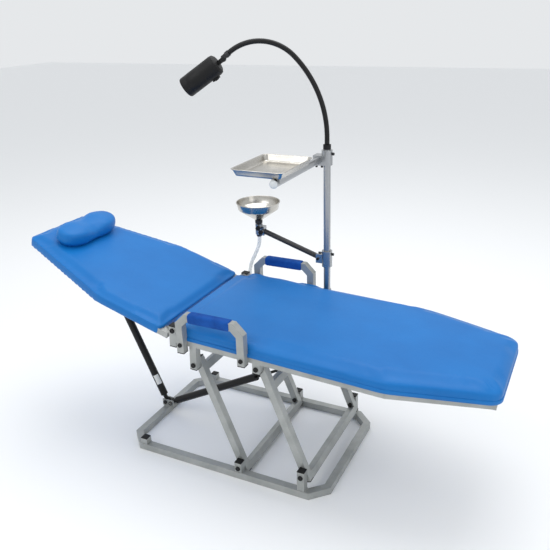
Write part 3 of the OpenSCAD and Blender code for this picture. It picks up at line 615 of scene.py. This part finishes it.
def headrest():
    """Two full lobes joined by a narrower waist, flat where it rests on the back pad."""
    half_w, lobe, thick = 0.139, 0.062, 0.060
    verts = []
    sides, rings = 48, 15
    for i in range(rings):
        t = pi * i / (rings - 1)
        z = thick * (0.5 - 0.5 * cos(t))
        pull = sin(t) ** 0.55 if 0 < i < rings - 1 else 0.0
        for k in range(sides):
            a = 2 * pi * k / sides
            y = half_w * (abs(cos(a)) ** 0.75) * (1 if cos(a) > 0 else -1)
            waist = 1 - 0.16 * (0.5 + 0.5 * cos(pi * min(1, abs(y) / (half_w * 0.60))))
            x = lobe * waist * (abs(sin(a)) ** 0.80) * (1 if sin(a) > 0 else -1)
            grow = 0.55 + 0.45 * pull
            flat = 1 if z > thick * 0.25 else 0.94
            verts.append(Vector((x * grow * flat, y * (0.86 + 0.14 * pull) * flat, z)))
    mesh = bpy.data.meshes.new("pillow_form")
    mesh.from_pydata([tuple(v) for v in verts], [], rings_to_faces(rings, sides))

    def held(p):
        return p.z < 0.004

    def cap(p):
        return 0.003 if p.z < 0.01 else 0.009

    mesh = inflate(mesh, 0.005, 3.0, cap, held)
    for vertex in mesh.vertices:
        p = vertex.co
        dip = (0.5 + 0.5 * cos(pi * min(1, abs(p.y) / 0.07))) * max(0.0, p.z - 0.02) / 0.04
        p.z = max(0.0, p.z - 0.008 * dip)
        p.z = min(p.z, 0.066)
    place = BACK @ Matrix.Translation((-0.580, 0.007, 0.0045))
    piece = cushion("headrest_cushion", mesh, place, "headrest", ["headrest_pillow"])
    return piece


def seam(name, points, radius, body, slot_name="blue_vinyl", sides=8):
    """A sewn welt: a thin bead along a closed line of points."""
    n = len(points)
    verts = []
    for i in range(n):
        along = (points[(i + 1) % n] - points[i - 1]).normalized()
        side = along.cross(Vector((0, 0, 1))).normalized()
        up = side.cross(along)
        for k in range(sides):
            a = 2 * pi * k / sides
            verts.append(points[i] + radius * (cos(a) * side + sin(a) * up))
    faces = rings_to_faces(n, sides, (False, False))
    last = (n - 1) * sides
    faces += [(last + k, last + (k + 1) % sides, (k + 1) % sides, k) for k in range(sides)]
    return new_piece(name, verts, faces, slot_name, body)


# ---------------------------------------------------------------- grips, hose, neck
def grip(name, y, node):
    """Foam sleeve with soft corners and rolled ends over the square tube."""
    x0, x1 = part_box(node)[0][0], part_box(node)[1][0]
    z = 0.586
    half, corner, sides = 0.0165, 0.0095, 40
    stations = [(0.0, 0.80), (0.0012, 0.90), (0.004, 0.98), (0.009, 1.0)]
    stations = stations + [(x1 - x0 - d, s) for d, s in reversed(stations)]
    verts = []
    for d, s in stations:
        for k in range(sides):
            a = 2 * pi * k / sides
            c, n = cos(a), sin(a)
            r = (abs(c) ** 4.5 + abs(n) ** 4.5) ** (-1 / 4.5) * half * s
            verts.append(Vector((x0 + d, y + r * c, z + r * n)))
    piece = new_piece(name, verts, rings_to_faces(len(stations), sides), "blue_foam", "seat")
    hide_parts(node)
    return piece


def drain_hose():
    route = [(274, 300, 668), (274, 300, 650), (270, 300, 630), (260, 301, 605), (247, 303, 580),
             (234, 305, 555), (225, 306, 525), (220, 307, 490), (218, 308, 450), (218, 308, 405),
             (218, 308, 360)]
    points = [Vector(p) * MM for p in route]
    curve = bpy.data.curves.new("drain_hose_line", "CURVE")
    curve.dimensions = "3D"
    curve.bevel_depth = 0.007
    curve.bevel_resolution = 6
    curve.use_fill_caps = True
    spline = curve.splines.new("POLY")
    smooth = smooth_line(points, 3)
    spline.points.add(len(smooth) - 1)
    for target, p in zip(spline.points, smooth):
        target.co = (*p, 1)
    hose = bpy.data.objects.new("drain_hose_tube", curve)
    scene.collection.objects.link(hose)
    curve.materials.append(MATERIALS["clear_hose"])
    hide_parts("drain_hose")
    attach(hose, "cuspidor")


def smooth_line(points, parts):
    """A Catmull-Rom line through the points."""
    padded = [2 * points[0] - points[1]] + points + [2 * points[-1] - points[-2]]
    line = []
    for i in range(1, len(padded) - 2):
        a, b, c, d = padded[i - 1:i + 3]
        for k in range(parts):
            t = k / parts
            line.append(0.5 * (2 * b + (c - a) * t + (2 * a - 5 * b + 4 * c - d) * t * t
                               + (3 * b - a - 3 * c + d) * t ** 3))
    return line + [points[-1]]


def neck_line():
    """Centre line of the gooseneck in its own plane: distance out, height and direction."""
    line = []
    start = NECK_TOP + 0.0163
    top = NECK_TOP + 0.040
    for i in range(12):
        line.append((0.0, start + (top - start) * i / 12, 0.0))
    for i in range(140):
        a = radians(SWEEP_1) * i / 140
        line.append((BEND_1 * (1 - cos(a)), top + BEND_1 * sin(a), a))
    a0 = radians(SWEEP_1)
    x0, z0 = BEND_1 * (1 - cos(a0)), top + BEND_1 * sin(a0)
    for i in range(121):
        a = a0 + radians(SWEEP_2) * i / 120
        line.append((x0 + BEND_2 * (cos(a0) - cos(a)), z0 + BEND_2 * (sin(a) - sin(a0)), a))
    return line


def gooseneck():
    """Ribbed sheath: the radius steps in and out along the line."""
    line = neck_line()
    verts, sides = [], 24
    count = 0
    for i, (x, z, a) in enumerate(line):
        r = 0.0088 if (i // 1) % 2 else 0.0080
        centre = Vector((x, 0, z))
        out = Vector((cos(a), 0, -sin(a)))
        for k in range(sides):
            t = 2 * pi * k / sides
            verts.append(NECK @ (centre + r * (cos(t) * out + sin(t) * Vector((0, 1, 0)))))
        count += 1
    piece = new_piece("gooseneck_ribs", verts, rings_to_faces(count, sides), "gooseneck_sheath",
                      "lamp_arm")
    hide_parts("gooseneck")
    return line[-1]


def lamp(end):
    x, z, _ = end
    hinge = NECK @ Matrix.Translation((x + 0.020, 0, z - 0.020)) @ Matrix.Rotation(radians(34), 4, "Y")
    axis = hinge @ Matrix.Rotation(radians(90), 4, "Y")
    rear, r, length = 0.022, 0.035, 0.140
    profile = [(0.0005, rear + 0.0002), (0.020, rear + 0.0002), (0.026, rear + 0.001), (0.031, rear + 0.004),
               (0.0335, rear + 0.009), (0.0348, rear + 0.014)]
    for k in range(5):
        h = rear + 0.020 + k * 0.006
        profile += [(0.0350, h), (0.0350, h + 0.0030), (0.0336, h + 0.0036), (0.0336, h + 0.0054)]
    profile += [(0.0350, rear + 0.052), (0.0352, rear + 0.100), (0.0350, rear + 0.118),
                (0.0342, rear + 0.119), (0.0342, rear + 0.121), (0.0350, rear + 0.122),
                (0.0350, rear + length - 0.003), (0.0335, rear + length), (0.0318, rear + length),
                (0.0318, rear + 0.060), (0.0005, rear + 0.060)]
    shell = lathe("lamp_shell", axis, profile, "lamp_black", "lamp")
    shell.name = "lamp_shell"
    inner = [(0.0312, rear + 0.127), (0.0290, rear + 0.112), (0.0230, rear + 0.092), (0.0130, rear + 0.080),
             (0.0050, rear + 0.078), (0.0005, rear + 0.078)]
    lathe("lamp_reflector", axis, inner, "reflector", "lamp")
    lathe("lamp_bulb", axis, [(0.0005, rear + 0.079), (0.0055, rear + 0.079), (0.0055, rear + 0.090),
                              (0.0030, rear + 0.095), (0.0005, rear + 0.096)], "lens", "lamp", sides=24)
    return hinge


# ---------------------------------------------------------------- metal goods
def bowl():
    place = Matrix.Translation((0.274, 0.300, 0))
    r, top, band, low = 0.080, 0.803, 0.029, 0.735
    t = 0.0015
    profile = [(0.0116, low - 0.011), (0.0116, low - 0.004)]
    steps = 6
    for k in range(steps + 1):
        s = k / steps
        profile.append((0.014 + (0.0730 - 0.014) * s, low - 0.002 + (top - band - low + 0.002) * s))
    profile += [(0.0755, top - band + 0.0030), (r - 0.0005, top - 0.006), (r, top - 0.003)]
    for k in range(9):
        a = -pi / 2 + 1.6 * pi * k / 8
        profile.append((r + 0.0008 + 0.0020 * cos(a), top - 0.0012 + 0.0020 * sin(a)))
    profile += [(r - t, top - 0.003), (r - t - 0.0005, top - 0.006), (0.0740, top - band + 0.0035)]
    for k in range(steps, -1, -1):
        s = k / steps
        profile.append((0.0128 + (0.0716 - 0.0128) * s, low + (top - band - low + 0.0012) * s))
    profile += [(0.0104, low - 0.004), (0.0104, low - 0.011)]
    piece = lathe("bowl_shell", place, profile, "stainless", "cuspidor", sides=96, closed=True)
    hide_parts("bowl")
    ring = [(0.0142, low - 0.014), (0.0142, low - 0.004), (0.0118, low - 0.004), (0.0118, low - 0.014)]
    lathe("bowl_collar", place, ring, "dark_tube", "cuspidor", closed=True)


def tray():
    (x0, y0, _), (x1, y1, z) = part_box("tray")
    centre = Vector(((x0 + x1) / 2, (y0 + y1) / 2, 0))
    w, d = (x1 - x0) / 2, (y1 - y0) / 2
    floor_z = z - 0.024
    layers = [(0.0012, z - 0.0024, 0.020), (0.0004, z - 0.0012, 0.020), (0.0014, z - 0.0002, 0.020),
              (0.0040, z - 0.0001, 0.018), (0.0058, z - 0.0010, 0.017), (0.0068, z - 0.0040, 0.016),
              (0.0125, floor_z + 0.0070, 0.014), (0.0146, floor_z + 0.0030, 0.013),
              (0.0190, floor_z + 0.0015, 0.011), (0.0600, floor_z + 0.0013, 0.011)]
    under = [(0.0600, floor_z + 0.0001, 0.011), (0.0180, floor_z + 0.0001, 0.011),
             (0.0132, floor_z + 0.0020, 0.013), (0.0112, floor_z + 0.0065, 0.014),
             (0.0054, z - 0.0048, 0.016), (0.0040, z - 0.0026, 0.018)]
    verts, sides = [], 0
    for inset, height, r in layers + under:
        corner = [(-w + inset, -d + inset), (w - inset, -d + inset), (w - inset, d - inset),
                  (-w + inset, d - inset)]
        ring = rounded_outline(corner, r, 8)
        sides = len(ring)
        verts += [Vector((p.x, p.y, height)) + centre for p in ring]
    count = len(layers) + len(under)
    faces = rings_to_faces(count, sides, (False, False))
    last = (count - 1) * sides
    faces += [(last + k, last + (k + 1) % sides, (k + 1) % sides, k) for k in range(sides)]
    top_floor = (len(layers) - 1) * sides
    faces.append(tuple(range(top_floor, top_floor + sides)))
    under_floor = len(layers) * sides
    faces.append(tuple(reversed(range(under_floor, under_floor + sides))))
    faces = [f for f in faces if not (len(f) == 4 and set(f) <= set(range(top_floor, under_floor + sides))
                                      and min(f) < under_floor <= max(f))]
    piece = new_piece("tray_shell", verts, faces, "stainless", "tray_set")
    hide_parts("tray")


def spring_label():
    """A blank light patch that wraps part of the backrest spring's cylinder."""
    start = Vector((-0.008, 0, 0.040))
    lean = radians(113.4)
    along = Vector((cos(lean), 0, sin(lean)))
    side = Vector((sin(lean), 0, -cos(lean)))
    verts = []
    sides = 14
    for i, s in enumerate((0.077, 0.117)):
        for k in range(sides):
            a = radians(-88) + radians(84) * k / (sides - 1)
            offset = 0.0145 * (cos(a) * side + sin(a) * Vector((0, 1, 0)))
            verts.append(start + along * s + offset)
    faces = [(k, k + 1, k + 1 + sides, k + sides) for k in range(sides - 1)]
    new_piece("spring_label", verts, faces, "label", "back_spring_tube")


def all_bolt_heads():
    out = 0.2590
    lean = radians(21.7)
    pivots = {"base": [(0.454, 0.041), (0.6845, 0.0785)]}
    pivots["seat"] = [(x - 0.392 * sin(lean), z + 0.392 * cos(lean)) for x, z in pivots["base"]]
    for body, places in pivots.items():
        for i, (x, z) in enumerate(places):
            for side in (-1, 1):
                name = f"{body}_pivot_head_{i}_{'near' if side < 0 else 'far'}"
                bolt_head(name, (x, side * 0.2551, z), (0, side, 0), 0.0084, 0.0046, body)
    for side, word in ((-1, "near"), (1, "far")):
        bolt_head(f"hinge_nut_{word}", (0.238, side * 0.2551, 0.517), (0, side, 0), 0.0084, 0.0046, "seat")
        for i, x in enumerate((0.282, 0.502)):
            z = 0.517 - (x - 0.238) * sin(radians(2.5)) / cos(radians(2.5)) - 0.029
            bolt_head(f"armrest_head_{i}_{word}", (x, side * 0.2804, z), (0, side, 0), 0.0074, 0.0046, "seat")
        bolt_head(f"spring_bracket_head_{word}", (0.016, side * 0.0136, 0.040), (0, side, 0), 0.0084, 0.005,
                  "base")


def weld_beads():
    """Small fillets round the foot of the uprights welded onto the base frame."""
    places = [("base", Matrix.Identity(4), [(x, 0.0253) for x in (0.066, 0.454, 0.6845)])]
    for body, turn, spots in places:
        for i, (x, z) in enumerate(spots):
            for side in (-1, 1):
                centre = Vector((x, side * 0.2425, z))
                line = rounded_outline([(-0.0135, -0.0135), (0.0135, -0.0135), (0.0135, 0.0135),
                                        (-0.0135, 0.0135)], 0.002, 2)
                line = [centre + Vector((p.x, p.y, 0)) for p in evenly(line, 0.002)]
                seam(f"{body}_weld_{i}_{'near' if side < 0 else 'far'}", line, 0.0016, body,
                     "silver_paint", sides=6)


# ---------------------------------------------------------------- assembly
MATERIALS = make_materials()
place_camera()
drain_hose()
studio()

for part in frame["record"]["subparts"]:
    node = frame["nodes"][part["node"]]
    node.data.materials.clear()
    node.data.materials.append(MATERIALS[part["material_slot"]])

seat_cushion()
back_cushion()
headrest()
headrest_straps()
grip("foam_grip_near", -0.2678, "grip_near")
grip("foam_grip_far", 0.2678, "grip_far")
lamp(gooseneck())
bowl()
tray()
spring_label()
all_bolt_heads()
weld_beads()
